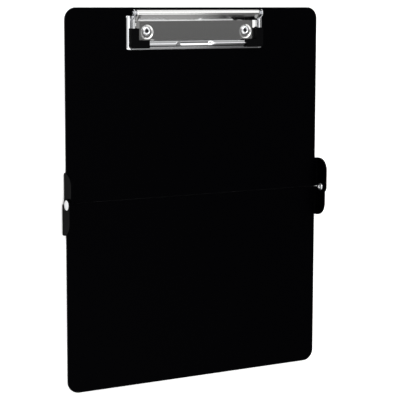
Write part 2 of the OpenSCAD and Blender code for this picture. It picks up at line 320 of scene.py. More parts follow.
def skins(upper, lower, kept=None):
    """A closed shell between two grids of points. Each kept cell is a face of both, and a wall joins
    them along every edge that has a kept cell on one side only."""
    rows, columns = upper.shape[:2]
    count = rows * columns
    index = np.arange(count).reshape(rows, columns)
    kept = np.ones((rows - 1, columns - 1), bool) if kept is None else kept
    cells = np.stack([index[:-1, :-1], index[1:, :-1], index[1:, 1:], index[:-1, 1:]], axis=-1)[kept]

    def walls(first, second, here, there):
        """Faces along each edge that has a kept cell here and none there."""
        edge = here & ~there
        return np.column_stack([first[edge], second[edge], second[edge] + count, first[edge] + count])

    around = np.pad(kept, 1)
    above, below = around[:-1, 1:-1], around[1:, 1:-1]
    left, right = around[1:-1, :-1], around[1:-1, 1:]
    faces = np.vstack([
        cells,
        cells[:, ::-1] + count,
        walls(index[:, :-1], index[:, 1:], below, above),
        walls(index[:, 1:], index[:, :-1], above, below),
        walls(index[1:], index[:-1], right, left),
        walls(index[:-1], index[1:], left, right),
    ])
    return np.vstack([upper.reshape(-1, 3), lower.reshape(-1, 3)]), faces


def sheet(middle, thickness, kept=None):
    """A sheet of even thickness: two skins that lie half of it along the normals from a middle grid."""
    shift = normals(middle) * thickness / 2
    return skins(middle + shift, middle - shift, kept)


def turned(profile, place, along, steps=64):
    """A profile of radius and reach, turned about an axis through place along the axis named x or z."""
    angle = np.linspace(0, 2 * np.pi, steps + 1)
    radius, reach = np.array(profile)[:, :1], np.array(profile)[:, 1:]
    reach = np.broadcast_to(reach, (len(profile), len(angle)))
    sides = [radius * np.cos(angle), radius * np.sin(angle)]
    points = np.stack([reach, *sides] if along == "x" else [*sides, reach], axis=-1) + place
    index = np.arange(radius.size * angle.size).reshape(radius.size, angle.size)
    faces = np.stack([index[:-1, :-1], index[:-1, 1:], index[1:, 1:], index[1:, :-1]], axis=-1)
    return points.reshape(-1, 3), faces.reshape(-1, 4)


def arc(middle, radius, start, end, count=8):
    """Rows of points on a circle, from one angle in degrees to another."""
    angle = np.radians(np.linspace(start, end, count + 1))
    return np.column_stack([middle[0] + radius * np.cos(angle), middle[1] + radius * np.sin(angle)])


def outward(points, faces):
    """The faces turned so that the shell's volume, a sum of triple products, is positive."""
    a, b, c, d = (points[faces[:, corner]] for corner in range(4))
    volume = np.sum(a * (np.cross(b, c) + np.cross(c, d)))
    return faces if volume > 0 else faces[:, ::-1]


def make_piece(name, *shells):
    """One object from shells of points and faces, with its seams and poles welded."""
    offset, all_points, all_faces = 0, [], []
    for points, faces in shells:
        used, order = np.unique(outward(points, faces), return_inverse=True)
        all_points.append(points[used] * MM)
        all_faces.append(order.reshape(faces.shape) + offset)
        offset += len(used)
    mesh = bpy.data.meshes.new(name)
    mesh.from_pydata(np.vstack(all_points).tolist(), [], np.vstack(all_faces).tolist())
    shape = bmesh.new()
    shape.from_mesh(mesh)
    bmesh.ops.remove_doubles(shape, verts=shape.verts, dist=WELD)
    shape.to_mesh(mesh)
    shape.free()
    piece = bpy.data.objects.new(name, mesh)
    bpy.context.scene.collection.objects.link(piece)
    return piece


def copy_node(node, name):
    """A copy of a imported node, merged and with its flat faces joined."""
    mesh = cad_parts[node].data.copy()
    mesh.name = name
    mesh.materials.clear()
    shape = bmesh.new()
    shape.from_mesh(mesh)
    bmesh.ops.remove_doubles(shape, verts=shape.verts, dist=2 * WELD)
    bmesh.ops.dissolve_limit(
        shape, angle_limit=math.radians(FLAT_DEG), verts=shape.verts, edges=shape.edges
    )
    shape.to_mesh(mesh)
    shape.free()
    piece = bpy.data.objects.new(name, mesh)
    bpy.context.scene.collection.objects.link(piece)
    return piece


def round_edges(piece, edge, segments=2, limit=35):
    """Rounds the edges of a piece that are sharper than limit, in degrees, and keeps its flat faces flat
    to the eye."""
    piece.data.shade_smooth()
    if edge:
        bevel = piece.modifiers.new("rounded edges", "BEVEL")
        bevel.width = edge * MM
        bevel.segments = segments
        bevel.limit_method = "ANGLE"
        bevel.angle_limit = math.radians(limit)
    flat_first = piece.modifiers.new("flat faces stay flat", "WEIGHTED_NORMAL")
    flat_first.mode = "FACE_AREA"
    flat_first.weight = 100


def dress(piece, node, body, material):
    """Puts a material on a piece that stands for a node and rides on its body."""
    piece.data.materials.append(material)
    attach(piece, body)
    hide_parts(node)


# ---- the clip's pieces ----

# half sides of the square rings that become round ones about a rivet, closest over a dish's wall
HOLE_R = 2.45
RINGS = np.concatenate([[0, 0.9, 1.7, HOLE_R, 3.1, 3.7, 4.2], np.arange(4.5, 5.8, 0.2), [6.0, 6.3]])
PATCH = 6.5
RING_LINES = np.unique(np.concatenate([-RINGS, RINGS, [-PATCH, PATCH]]))
# where the base plate's rings turn back from round to square
BASE_ROUND, BASE_SQUARE = 5.0, 6.0


def away_from_rivets(x, d):
    """The distance of each point from the nearer clip rivet's axis."""
    return np.minimum(*[np.hypot(x - rivet_x, d - RIVET_D) for rivet_x in RIVET_X])


def cell_middles(grid):
    """The mean of the four corners of each cell."""
    return (grid[:-1, :-1] + grid[1:, :-1] + grid[1:, 1:] + grid[:-1, 1:]) / 4


def base_plate(settings):
    """A plate whose top falls away to a thin foot along both sides, with its lower corners rounded in
    plan. A row that lies e inside the lower edge is narrowed by r less the root of r squared less
    (r - e) squared, and the top rises with the distance from the side as a ramp with a slight bulge."""
    half, skirt = (BASE_HIGH[0] - BASE_LOW[0]) / 2, settings.skirt
    foot, bulge = 0.15, 0.12
    skirt_lines = skirt * np.array([0, 0.04, 0.1, 0.2, 0.35, 0.5, 0.65, 0.8, 0.9, 0.96, 1, 1.1])
    x = across(-half, half, [rivet_x - CLIP_X for rivet_x in RIVET_X], RING_LINES, pitch=12)
    x = np.unique(np.round(np.concatenate([x, skirt_lines - half, half - skirt_lines]), 4))
    corner = settings.base_corner
    corner_lines = corner * (1 - np.cos(np.radians(np.arange(0, 91, 15))))
    low_d, high_d = TOP_Y - BASE_HIGH[1], TOP_Y - BASE_LOW[1]
    d = across(low_d, high_d, [RIVET_D], RING_LINES, pitch=3)
    d = np.unique(np.round(np.concatenate([d, high_d - corner_lines]), 4))
    d, x = np.meshgrid(d, x, indexing="ij")
    inside = np.clip(corner - (high_d - d), 0, corner)
    narrow = 1 - (corner - np.sqrt(corner**2 - inside**2)) / half
    side = half - abs(x)
    ramp = np.clip(side / skirt, 0, 1)
    ramp = ramp + bulge * np.sin(np.pi * ramp)
    top = np.where(side < skirt, foot + (BASE_T - foot) * np.minimum(ramp, 1), BASE_T)
    x = CLIP_X + x * narrow
    for rivet_x in RIVET_X:
        x, d = round_off(x, d, (rivet_x, RIVET_D), BASE_ROUND, BASE_SQUARE)
    kept = away_from_rivets(cell_middles(x), cell_middles(d)) > HOLE_R
    return skins(on_clip(x, d, top), on_clip(x, d, 0.0), kept)


def pivot_plate(settings):
    """Sheet along a bent path: flat, a bend up to the slope, then the barrel rolled about the rod. Round
    each rivet it drops as a dish, by the lift times a smooth step over the dish's wall. Between the
    barrel and the grips, both ends step up to a raised rim."""
    thick = settings.sheet
    flat_h = BASE_T + settings.plate_lift + thick / 2
    low_d = TOP_Y - PIVOT_LOW[1]
    slope, bend_r = math.radians(settings.slope), settings.slope_bend + thick / 2
    barrel_r = ROD_R + RUN_CLEAR + thick / 2
    rise = ROD_H - flat_h - bend_r * (1 - math.cos(slope)) + barrel_r * math.cos(slope)
    run = rise / math.sin(slope)
    fold_d = ROD_D + (bend_r + barrel_r) * math.sin(slope) + run * math.cos(slope)
    flat = across(fold_d, low_d, [RIVET_D], RING_LINES, pitch=2)[::-1]
    flat = np.column_stack([flat, np.full(flat.size, flat_h)])
    bends = [(0, -settings.slope, bend_r), (run, settings.curl, barrel_r)]
    path = np.vstack([flat[:-1], bend_path(flat[-1], 180, bends, step=5)[1:]])
    low_x, high_x = PIVOT_LOW[0], PIVOT_HIGH[0]
    x = across(low_x, high_x, RIVET_X, RING_LINES, pitch=12)
    rim_lines = settings.rim_w + settings.rim_step * np.linspace(0, 1, 9)
    x = np.unique(np.round(np.concatenate([x, low_x + rim_lines, high_x - rim_lines]), 4))
    d, x = np.meshgrid(path[:, 0], x, indexing="ij")
    h = np.broadcast_to(path[:, 1:], d.shape)
    on_flat = np.broadcast_to((np.arange(len(path)) < len(flat))[:, None], d.shape)
    round_x, round_d = x, d
    for rivet_x in RIVET_X:
        round_x, round_d = round_off(round_x, round_d, (rivet_x, RIVET_D), RINGS[-1], PATCH)
    x, d = np.where(on_flat, round_x, x), np.where(on_flat, round_d, d)
    away = away_from_rivets(x, d - settings.dish_shift)
    wall = (away - settings.dish_floor) / settings.dish_wall
    h = h - np.where(on_flat, settings.plate_lift * (1 - smooth(wall)), 0)
    # the rim starts this far from the rod, rises over the lead, and ends over the tail at the grips
    start, lead, tail = 2.5, 3.0, 0.5
    from_end = np.minimum(x - low_x, high_x - x)
    rim = smooth((settings.rim_w + settings.rim_step - from_end) / settings.rim_step)
    rim = rim * smooth((d - ROD_D - start) / lead) * smooth((GRIP_D + tail - d) / tail)
    h = h + settings.rim_rise * rim
    hole = (away_from_rivets(cell_middles(x), cell_middles(d)) < HOLE_R) & on_flat[:-1, :-1]
    return sheet(on_clip(x, d, h), thick, ~hole)


def jaw_bar(settings):
    """Sheet along a bent path: up, an inclined face, over a tight ridge, down two ever steeper runs and
    a drop, and out as the gripping lip. The thumb scoop presses it to the lesser of its height and of a
    floor that steps up past the middle and runs out at both ends. A root of squares rounds the crease
    between the two. A turn from slope p to slope q on radius r moves on by r (sin p - sin q)."""
    thick = settings.sheet
    face, fall = math.radians(settings.bar_face), math.radians(settings.bar_fall)
    steep, tilt = math.radians(settings.bar_steep), math.radians(settings.lip_tilt)
    # middle radii of the bends, from the foot of the bar to the lip
    foot_r, ridge_r, knee_r, lip_r = 0.5, settings.shoulder_r, 0.4, 0.5
    start_h, lip_h = BASE_T + settings.plate_lift, BASE_T + RUN_CLEAR + thick / 2
    top_h = settings.bar_top - thick / 2
    # the width of the bar's middle line, of which the inclined face takes what the rest leaves
    width = settings.bar_w - thick
    ridge_d = ridge_r * (math.sin(face) + math.sin(fall))
    knee_d = knee_r * (1 - math.sin(fall))
    face_d = width - foot_r * (1 - math.sin(face)) - ridge_d - settings.fall_w - settings.steep_w - knee_d
    face_h = foot_r * math.cos(face) + face_d * math.tan(face) + ridge_r * (1 - math.cos(face))
    start_d = BAR_D - settings.bar_r + thick / 2
    lip = (BAR_D + LIP_REACH - start_d - width - lip_r * (1 - math.sin(tilt))) / math.cos(tilt)
    fall_h = settings.fall_w * math.tan(fall) + settings.steep_w * math.tan(steep)
    fall_h = fall_h + ridge_r * (1 - math.cos(fall)) + knee_r * math.cos(fall)
    down = top_h - fall_h - lip_r * math.cos(tilt) - lip * math.sin(tilt) - lip_h
    bends = [
        (top_h - face_h - start_h, settings.bar_face - 90, foot_r),
        (face_d / math.cos(face), -settings.bar_face - settings.bar_fall, ridge_r),
        (settings.fall_w / math.cos(fall), settings.bar_fall - settings.bar_steep, knee_r),
        (settings.steep_w / math.cos(steep), settings.bar_steep - 90, knee_r),
        (down, 90 - settings.lip_tilt, lip_r),
        (lip, 0, 0),
    ]
    step = 5
    path = bend_path((start_d, start_h), 90, bends, step)
    # more points along the face, so that the scoop's edge runs cleanly over it
    face_at = 1 + math.ceil((90 - settings.bar_face) / step)
    along = np.linspace(0, 1, 6)[1:-1, None]
    path = np.vstack([
        path[:face_at + 1],
        path[face_at] + (path[face_at + 1] - path[face_at]) * along,
        path[face_at + 1:],
    ])
    # the bar ends this far inside the arms' outsides, and its lines are closer over the scoop
    inset, reach, fine = 1.2, 21, 0.5
    lines = settings.scoop_x + np.arange(-reach, reach + fine / 2, fine)
    x = across(JAW_LOW[0] + inset, JAW_HIGH[0] - inset, [CLIP_X], lines, pitch=12)
    d, x = np.meshgrid(path[:, 0], x, indexing="ij")
    h = np.broadcast_to(path[:, 1:], d.shape)
    run_out = smooth((abs(x - CLIP_X - settings.scoop_x) - settings.scoop_w / 2) / settings.scoop_ramp)
    # the floor's step, from just above the bar's middle; its ends run out to a little over the ridge
    step_from, step_w, overrun, crease = 0.4, 1.2, 1.1, 0.12
    rise = settings.scoop_step * np.clip((d - BAR_D + step_from) / step_w, 0, 1)
    floor = top_h - settings.scoop_depth * (1 - overrun * run_out) + rise
    pressed = (h + floor - np.sqrt((h - floor) ** 2 + crease**2)) / 2
    h = np.where(run_out < 1, pressed, h)
    return sheet(on_clip(x, d, h), thick)


def jaw_arm(settings, side):
    """One side arm, a sheet on a two-way grid. The lug is a square patch turned into rings about the rod.
    The arm's columns run on from the arc between its corners to upright lines, and rows beyond the top
    edge turn in over a quarter round as a flange that widens away from the lug."""
    thick = settings.sheet
    wall_x = (JAW_LOW[0], JAW_HIGH[0])[side > 0] - side * thick / 2
    lug_r, top_h, low_h = settings.lug_r, settings.bar_top - thick / 2, BASE_T + settings.plate_lift
    heel = np.array([settings.arm_taper, top_h - ROD_H])
    toe = np.array([settings.arm_taper, low_h - ROD_H])

    def tangent(point, way):
        """The angle at which a line from point touches the lug."""
        return math.degrees(math.atan2(point[1], point[0]) + way * math.acos(lug_r / math.hypot(*point)))

    top_a, low_a = tangent(heel, 1), tangent(toe, -1)
    corners = (low_a, top_a, 135, 225, low_a + 360)
    lines = np.linspace(-1, 1, 17)
    up, out = np.meshgrid(lines, lines, indexing="ij")
    ring = np.maximum(np.maximum(abs(up), abs(out)), 1e-9)
    # the way round a square ring, 0 to 4 from its lower corner on the arm's side
    turn = np.select(
        [out >= abs(up), up >= abs(out), -out >= abs(up)],
        [(up / ring + 1) / 2, 1 + (1 - out / ring) / 2, 2 + (1 - up / ring) / 2],
        3 + (out / ring + 1) / 2,
    )
    angle = np.radians(np.interp(turn, range(5), corners))
    # the ring at this share of the patch is the rod's bore, and the outermost is the lug's edge
    hole, bore_r = 0.5, ROD_R + RUN_CLEAR
    radius = bore_r + (lug_r - bore_r) * (ring - hole) / (1 - hole)
    lug_d, lug_h = radius * np.cos(angle), radius * np.sin(angle)
    end = BAR_D - ROD_D
    share = np.concatenate([np.linspace(0, 1, 9)[1:], 1 + np.linspace(0, 1, 13)[1:]])
    rise = ((lines + 1) / 2)[:, None]
    line_d = np.interp(share, [0, 1, 2], [0, heel[0], end])
    upright_h = toe[1] + (heel[1] - toe[1]) * rise
    blend = np.minimum(share, 1)
    arm_d = np.where(share < 1, lug_d[:, -1:] * (1 - blend) + heel[0] * blend, line_d)
    arm_h = np.where(share < 1, lug_h[:, -1:] * (1 - blend) + upright_h * blend, upright_h)
    d = np.hstack([lug_d, arm_d])
    h = np.hstack([lug_h, arm_h])
    # the flange: its own rows, level with the top row where the lug is, and widening beyond it
    over = np.concatenate([np.zeros(lines.size - 1), [0.03], smooth(0.1 + 1.2 * share)])
    bend_r = settings.flange_bend * over
    tilt = math.radians(settings.flange_tilt)
    quarter = np.linspace(0, np.pi / 2 + tilt, 8)[:, None]
    flange = (settings.flange - thick / 2) * over
    top_d, top = d[-1], h[-1]
    h = h - (bend_r * rise ** 4)
    bend_in = bend_r * (1 - np.cos(quarter))
    bend_up = top - bend_r + bend_r * np.sin(quarter)
    beyond = np.maximum(flange - bend_r, 0) * np.linspace(0, 1, 4)[1:, None]
    flat_in = bend_r * (1 + math.sin(tilt)) + beyond * math.cos(tilt)
    inward = np.vstack([np.zeros(h.shape), bend_in[1:], flat_in])
    d = np.vstack([d, np.broadcast_to(top_d, (len(inward) - len(d), top_d.size))])
    h = np.vstack([h, bend_up[1:], top - bend_r * (1 - math.cos(tilt)) - beyond * math.sin(tilt)])
    kept = np.ones((d.shape[0] - 1, d.shape[1] - 1), bool)
    size = lines.size - 1
    inner = int(round(size * (1 - hole) / 2))
    kept[inner:size - inner, inner:size - inner] = False
    kept[size:, :size] = False
    middle = on_clip(wall_x - side * inward, ROD_D + d, ROD_H + h)
    return sheet(middle, thick, kept)


def rod():
    """The torsion rod: a round bar with its ends rounded over."""
    length, edge = ROD_HIGH[0] - ROD_LOW[0], 0.35
    near = arc((ROD_R - edge, edge), edge, 270, 360, 5)
    far = arc((ROD_R - edge, length - edge), edge, 0, 90, 5)
    profile = np.vstack([[0, 0], near, far, [0, length]])
    return turned(profile, on_clip(ROD_LOW[0], ROD_D, ROD_H), "x")


def clip_rivet(x):
    """A tubular rivet: a low head on the back, a shank, and its end rolled over in a half round."""
    low_corner, high_corner = box_mm("left_clip_rivet")
    low, high = low_corner[2] - FACE_Z, high_corner[2] - FACE_Z
    head_r = high_corner[0] - RIVET_X[0]
    width = (CLIP_ROLL_R - CLIP_HOLLOW_R) / 2
    seat, edge, bore_h = high - width, 0.3, 0.05
    profile = np.vstack([
        [0, bore_h],
        [CLIP_HOLLOW_R, bore_h],
        arc((CLIP_HOLLOW_R + width, seat), width, 180, 0, 16),
        [CLIP_PIN_R, seat],
        [CLIP_PIN_R, low + CLIP_HEAD_H],
        [head_r, low + CLIP_HEAD_H],
        arc((head_r - edge, low + edge), edge, 0, -90, 5),
        [0, low],
    ])
    return turned(profile, on_clip(x, RIVET_D, 0.0), "z")


def rivet_bore(place, radius, depth):
    """The dull bottom of a rivet's bore, darkened with painted shade: a shallow cup as wide as the bore,
    depth below the rolled end.
    """
    flat_r, wall = 0.8 * radius, 0.2
    inside = [[0, -depth], [flat_r, -depth], [radius, wall - depth]]
    under = [[radius, -wall - depth], [0, -wall - depth]]
    return turned(inside + under, place, "z", steps=32)


def hinge_rivet(node, side):
    """A hinge rivet across the ears: its end rolled toward the board, its domed head outside."""
    low, high = box_mm(node)
    middle = (low + high) / 2
    head_r = (high[2] - low[2]) / 2 - HINGE_HEAD_LESS
    width = (HINGE_ROLL_R - HINGE_HOLLOW_R) / 2
    grip = high[0] - low[0] - width - HINGE_HEAD_H
    dome_r = (head_r**2 + HINGE_DOME_H**2) / (2 * HINGE_DOME_H)
    rim = math.degrees(math.acos(head_r / dome_r))
    profile = np.vstack([
        [0, HINGE_HOLLOW_DEPTH],
        [HINGE_HOLLOW_R, HINGE_HOLLOW_DEPTH],
        arc((HINGE_HOLLOW_R + width, 0), width, 180, 360, 16),
        [HINGE_PIN_R, 0],
        [HINGE_PIN_R, grip],
        [head_r, grip],
        arc((0, grip + HINGE_DOME_H - dome_r), dome_r, rim, 90, 16),
    ])
    profile[:, 1] = side * profile[:, 1]
    inner_x = (high[0], low[0])[side > 0] + side * width
    return turned(profile, np.array([inner_x, middle[1], middle[2]]), "x")


# ---- settings ----


class BoardSettings(bpy.types.PropertyGroup):
    """Finish of the two panels."""

    coat_dark: bpy.props.StringProperty(
        name="Coat, dark", description="Darkest tone of the baked coat", default="#000001"
    )
    coat_light: bpy.props.StringProperty(
        name="Coat, light", description="Lightest tone of the baked coat", default="#020203"
    )
    edge: bpy.props.FloatProperty(
        name="Edge radius", description="Radius on the sheet's edges, in mm", default=0.12
    )


class ClipSettings(bpy.types.PropertyGroup):
    """Finishes of the clip."""

    chrome: bpy.props.StringProperty(
        name="Chrome", description="Colour of the bright plate", default="#EEEFF1"
    )
    nickel: bpy.props.StringProperty(
        name="Nickel", description="Colour of the pivot plate", default="#EDEDEC"
    )
    zinc: bpy.props.StringProperty(
        name="Zinc", description="Colour of the torsion rod's plate", default="#C4C7CB"
    )
    # this dark grey is painted shade: the shade deep in the clip rivets' bores
    bore: bpy.props.StringProperty(
        name="Bore", description="Colour of the dull steel and painted bore shade in the rivets' bores", default="#2C2C2E"
    )
    bore_depth: bpy.props.FloatProperty(
        name="Bore depth", description="Depth of a clip rivet's bore, in mm", default=1.3
    )
    vinyl: bpy.props.StringProperty(
        name="Vinyl", description="Colour of the corner grips", default="#060607"
    )
    edge: bpy.props.FloatProperty(
        name="Edge radius", description="Radius on the clip's sheet edges, in mm", default=0.12
    )
    sheet: bpy.props.FloatProperty(
        name="Sheet", description="Thickness of the clip's sheet, in mm", default=0.8
    )
    skirt: bpy.props.FloatProperty(
        name="Skirt", description="Width of the base plate's sloped sides, in mm", default=2.7
    )
    base_corner: bpy.props.FloatProperty(
        name="Base corner", description="Radius of its lower corners, in mm", default=1.6
    )
    plate_lift: bpy.props.FloatProperty(
        name="Plate lift", description="Depth of the dishes, in mm", default=0.6
    )
    slope: bpy.props.FloatProperty(
        name="Slope", description="Slope of the pivot plate up to its barrel, in degrees", default=43.5
    )
    slope_bend: bpy.props.FloatProperty(
        name="Slope bend", description="Inside radius at the foot of the slope, in mm", default=0.6
    )
    curl: bpy.props.FloatProperty(
        name="Curl", description="Turn of the rolled barrel, in degrees", default=285
    )
    dish_floor: bpy.props.FloatProperty(
        name="Dish floor", description="Radius of a dish's flat floor, in mm", default=4.7
    )
    dish_wall: bpy.props.FloatProperty(
        name="Dish wall", description="Width of a dish's sloped wall, in mm", default=0.8
    )
    dish_shift: bpy.props.FloatProperty(
        name="Dish shift", description="How far a dish lies below its rivet, in mm", default=0.7
    )
    rim_w: bpy.props.FloatProperty(
        name="Rim", description="Width of the plate's raised end rims, in mm", default=1.2
    )
    rim_step: bpy.props.FloatProperty(
        name="Rim step", description="Width of the step up to a rim, in mm", default=3.0
    )
    rim_rise: bpy.props.FloatProperty(
        name="Rim rise", description="Height of a rim over the plate, in mm", default=0.65
    )
    bar_r: bpy.props.FloatProperty(
        name="Bar radius", description="From the bar's upper side to its middle, in mm", default=2.3
    )
    bar_face: bpy.props.FloatProperty(
        name="Bar face", description="Slope of the bar's face toward the plate, in degrees", default=35
    )
    shoulder_r: bpy.props.FloatProperty(
        name="Shoulder", description="Radius over the bar's ridge, in mm", default=0.3
    )
    bar_fall: bpy.props.FloatProperty(
        name="Bar fall", description="Slope from the bar's ridge toward the lip, in degrees", default=42
    )
    fall_w: bpy.props.FloatProperty(
        name="Fall width", description="Width of that slope, in mm", default=1.0
    )
    bar_steep: bpy.props.FloatProperty(
        name="Bar steep", description="Slope of the steeper run below it, in degrees", default=52
    )
    steep_w: bpy.props.FloatProperty(
        name="Steep width", description="Width of that steeper run, in mm", default=0.8
    )
    lip_tilt: bpy.props.FloatProperty(
        name="Lip tilt", description="Fall of the gripping lip toward its end, in degrees", default=10
    )
    bar_w: bpy.props.FloatProperty(
        name="Bar width", description="Width over the bar, in mm", default=4.6
    )
    bar_top: bpy.props.FloatProperty(
        name="Bar height", description="Height of the bar's ridge, in mm", default=4.9
    )
    scoop_w: bpy.props.FloatProperty(
        name="Scoop width", description="Width of the thumb scoop, in mm", default=26
    )
    scoop_ramp: bpy.props.FloatProperty(
        name="Scoop ramp", description="Length of each end of the scoop, in mm", default=5.5
    )
    scoop_depth: bpy.props.FloatProperty(
        name="Scoop depth", description="Depth of the scoop, in mm", default=1.8
    )
    scoop_x: bpy.props.FloatProperty(
        name="Scoop place", description="The scoop's middle, from the clip's, in mm", default=-3
    )
    scoop_step: bpy.props.FloatProperty(
        name="Scoop step", description="Rise of the scoop toward the bar's ridge, in mm", default=0.7
    )
    lug_r: bpy.props.FloatProperty(
        name="Lug radius", description="Radius of the lugs about the rod, in mm", default=2.8
    )
    arm_taper: bpy.props.FloatProperty(
        name="Arm taper", description="Distance from the rod to an arm's heel, in mm", default=5.4
    )
    flange: bpy.props.FloatProperty(
        name="Flange", description="Width of the flange along an arm, in mm", default=1.8
    )
    flange_tilt: bpy.props.FloatProperty(
        name="Flange tilt", description="Fall of the flange toward the plate, in degrees", default=18
    )
    flange_bend: bpy.props.FloatProperty(
        name="Flange bend", description="Middle radius of the flange's bend, in mm", default=0.9
    )
    rivet_edge: bpy.props.FloatProperty(
        name="Rivet edge", description="Radius on the rivets' edges, in mm", default=0.08
    )
    grip_edge: bpy.props.FloatProperty(
        name="Grip edge", description="Radius on the grips' edges, in mm", default=0.45
    )


class StageSettings(bpy.types.PropertyGroup):
    """The studio."""

    lens: bpy.props.FloatProperty(
        name="Lens", description="Focal length on a 36 mm sensor, in mm", default=135.86
    )
    camera_place: bpy.props.FloatVectorProperty(
        name="Camera",
        description="Camera's place over the middle of the writing face",
        default=(-0.6283, 0.1580, 1.0561),
        unit="LENGTH",
    )
    camera_right: bpy.props.FloatVectorProperty(
        name="Camera right", description="The view's way to the right", default=(0.8584, 0.0024, 0.5130)
    )
    camera_up: bpy.props.FloatVectorProperty(
        name="Camera up", description="The view's way up", default=(0.0652, 0.9914, -0.1138)
    )
    room: bpy.props.FloatProperty(
        name="Room", description="Strength of the white room", default=1.35
    )
    flag_tone: bpy.props.FloatProperty(
        name="Flag", description="Tone of the dark flags, as a share of the room's", default=0.083
    )
    lamp_power: bpy.props.FloatProperty(
        name="Lamp", description="Power of the top softbox", default=9.0, unit="POWER"
    )
    floor_white: bpy.props.StringProperty(
        name="Floor white", description="Colour of the floor", default="#F0F0F0"
    )
    floor_grey: bpy.props.StringProperty(
        name="Floor grey", description="What the metal sees of the unlit floor", default="#A0A0A0"
    )
    lit_past: bpy.props.FloatProperty(
        name="Lit past",
        description="How far past the board's lower end the floor is lit",
        default=0.12,
        unit="LENGTH",
    )
    floor_glow: bpy.props.FloatProperty(
        name="Floor glow", description="What the camera sees the floor give off", default=0.45
    )
    floor_size: bpy.props.FloatProperty(
        name="Floor", description="Side of the floor", default=12.0, unit="LENGTH"
    )


# ---- operators ----


class CLIPBOARD_OT_panels(bpy.types.Operator):
    """Coats both panels and rounds their edges"""

    bl_idname = "clipboard.panels"
    bl_label = "Panels"

    def execute(self, context):
        settings = context.scene.clipboard_board
        coat = coated_aluminium(settings)
        for node, body in (("upper_panel", UPPER), ("lower_panel", LOWER)):
            piece = copy_node(node, node + "_sheet")
            round_edges(piece, settings.edge)
            dress(piece, node, body, coat)
        return {"FINISHED"}


class CLIPBOARD_OT_clip(bpy.types.Operator):
    """Works the clip's sheet metal and its rod"""

    bl_idname = "clipboard.clip"
    bl_label = "Clip"

    def execute(self, context):
        settings = context.scene.clipboard_clip
        # mirrors: a crisp cool one, a slightly softer warm one, and a dull grey one on the rod
        chrome = plated_steel("bright chrome plate", settings.chrome, (0.05, 0.09))
        nickel = plated_steel("bright nickel plate", settings.nickel, (0.07, 0.1))
        zinc = plated_steel("zinc plate", settings.zinc, (0.28, 0.36), 0.6)
        arms = [jaw_arm(settings, side) for side in (-1, 1)]
        for node, shells, body, slot, material in (
            ("clip_base_plate", [base_plate(settings)], UPPER, "clip_chrome", chrome),
            ("clip_pivot_plate", [pivot_plate(settings)], UPPER, "clip_satin", nickel),
            ("clip_jaw", [jaw_bar(settings), *arms], JAW, "clip_chrome", chrome),
            ("torsion_rod", [rod()], UPPER, "rod_steel", zinc),
        ):
            piece = make_piece(node + "_plated", *shells)
            round_edges(piece, settings.edge, limit=50)
            dress(piece, node, body, material)
        return {"FINISHED"}


class CLIPBOARD_OT_rivets(bpy.types.Operator):
    """Turns the clip rivets and the hinge rivets"""

    bl_idname = "clipboard.rivets"
    bl_label = "Rivets"

    def execute(self, context):
        settings = context.scene.clipboard_clip
        # a crisp plate on the clip's rivets, a soft one on the hinges', and in the bores dull steel
        # darkened with painted shade
        plate = plated_steel("nickel plated rivets", settings.chrome, (0.08, 0.14), 0.8)
        soft_plate = plated_steel("soft nickel plate", settings.chrome, (0.24, 0.3), 0.8)
        bore_steel_and_shade = plated_steel("dull steel and painted bore shade", settings.bore, (0.5, 0.6), 0.8)
        for node, shell in (
            ("left_clip_rivet", clip_rivet(RIVET_X[0])),
            ("right_clip_rivet", clip_rivet(RIVET_X[1])),
            ("left_hinge_rivet", hinge_rivet("left_hinge_rivet", -1)),
            ("right_hinge_rivet", hinge_rivet("right_hinge_rivet", 1)),
        ):
            piece = make_piece(node + "_plated", shell)
            round_edges(piece, settings.rivet_edge, limit=50)
            dress(piece, node, UPPER, soft_plate if "hinge" in node else plate)
        # a dark cup down each clip rivet's hollow, painted shade
        for node, x in (("left_clip_rivet", RIVET_X[0]), ("right_clip_rivet", RIVET_X[1])):
            top = on_clip(x, RIVET_D, box_mm(node)[1][2] - FACE_Z)
            piece = make_piece(node + "_bore", rivet_bore(top, CLIP_HOLLOW_R, settings.bore_depth))
            dress(piece, node, UPPER, bore_steel_and_shade)
        return {"FINISHED"}


class CLIPBOARD_OT_grips(bpy.types.Operator):
    """Moulds the two corner grips"""

    bl_idname = "clipboard.grips"
    bl_label = "Corner grips"

    def execute(self, context):
        settings = context.scene.clipboard_clip
        vinyl = moulded_vinyl(settings)
        for node in ("left_corner_grip", "right_corner_grip"):
            piece = copy_node(node, node + "_vinyl")
            round_edges(piece, settings.grip_edge, segments=3)
            dress(piece, node, JAW, vinyl)
        return {"FINISHED"}


